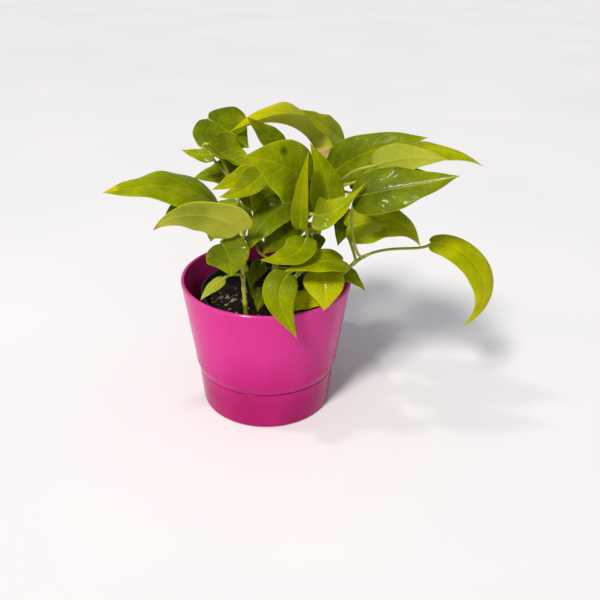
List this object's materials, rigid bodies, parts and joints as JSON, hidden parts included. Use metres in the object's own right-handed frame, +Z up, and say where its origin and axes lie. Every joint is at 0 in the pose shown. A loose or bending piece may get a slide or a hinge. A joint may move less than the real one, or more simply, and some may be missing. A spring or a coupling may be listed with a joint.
{
  "type": "potted pothos plant",
  "caption": "Potted pothos with heart-shaped leaves on slender petioles, rooted in a nursery pot that stands inside a glazed magenta cachepot.",
  "frame": {"origin": "centre of the cachepot's flat underside, on the surface it stands on", "axes": "+X to the right as pictured, towards the drooping leaf; +Y away from the front; +Z up"},
  "size_m": [0.2928, 0.1876, 0.25],
  "materials": {
    "pot_glaze": "glossy magenta glaze",
    "nursery_plastic": "satin dark green polypropylene",
    "soil": null,
    "stem": null,
    "leaf": null,
    "bract": "dry papery bract"
  },
  "bodies": {
    "root": {"cachepot": "pot_glaze", "nursery_pot": "nursery_plastic", "potting_soil": "soil", "vine_front_left": "stem", "vine_left": "stem", "vine_centre": "stem", "vine_right": "stem", "vine_right_low": "stem", "vine_front": "stem", "vine_back": "stem", "leaf_far_left": "leaf", "leaf_front_left": "leaf", "leaf_upper_left": "leaf", "leaf_left_mid": "leaf", "leaf_left_small": "leaf", "leaf_top_centre": "leaf", "leaf_top_right": "leaf", "leaf_centre_front": "leaf", "leaf_centre_edge": "leaf", "leaf_centre_back": "leaf", "leaf_right_upper": "leaf", "leaf_right_long": "leaf", "leaf_right_pale": "leaf", "leaf_right_glossy": "leaf", "leaf_right_behind": "leaf", "leaf_right_lower": "leaf", "leaf_folded_v": "leaf", "leaf_shaded_mid": "leaf", "leaf_low_left": "leaf", "leaf_low_mid": "leaf", "leaf_front_fold": "leaf", "leaf_front_flat": "leaf", "leaf_over_rim": "leaf", "leaf_yellow_glossy": "leaf", "leaf_at_rim": "leaf", "leaf_right_of_rim": "leaf", "leaf_far_right": "leaf", "leaf_small_round": "leaf", "leaf_tiny_pale": "leaf", "leaf_behind_left": "leaf", "leaf_dark_left": "leaf", "leaf_rolled_one": "leaf", "leaf_rolled_two": "leaf", "leaf_dark_fold": "leaf", "leaf_at_soil": "leaf", "leaf_inner_left": "leaf", "leaf_hanging_tip": "leaf", "leaf_inner_right": "leaf", "leaf_inner_mid": "leaf", "leaf_inner_dark": "leaf", "leaf_back_low": "leaf", "leaf_back_left": "leaf", "leaf_back_right": "leaf", "leaf_back_inner": "leaf", "leaf_back_hanging": "leaf", "leaf_back_upper": "leaf", "leaf_back_side": "leaf", "leaf_back_small": "leaf", "dry_bract": "bract"}
  },
  "joints": []
}
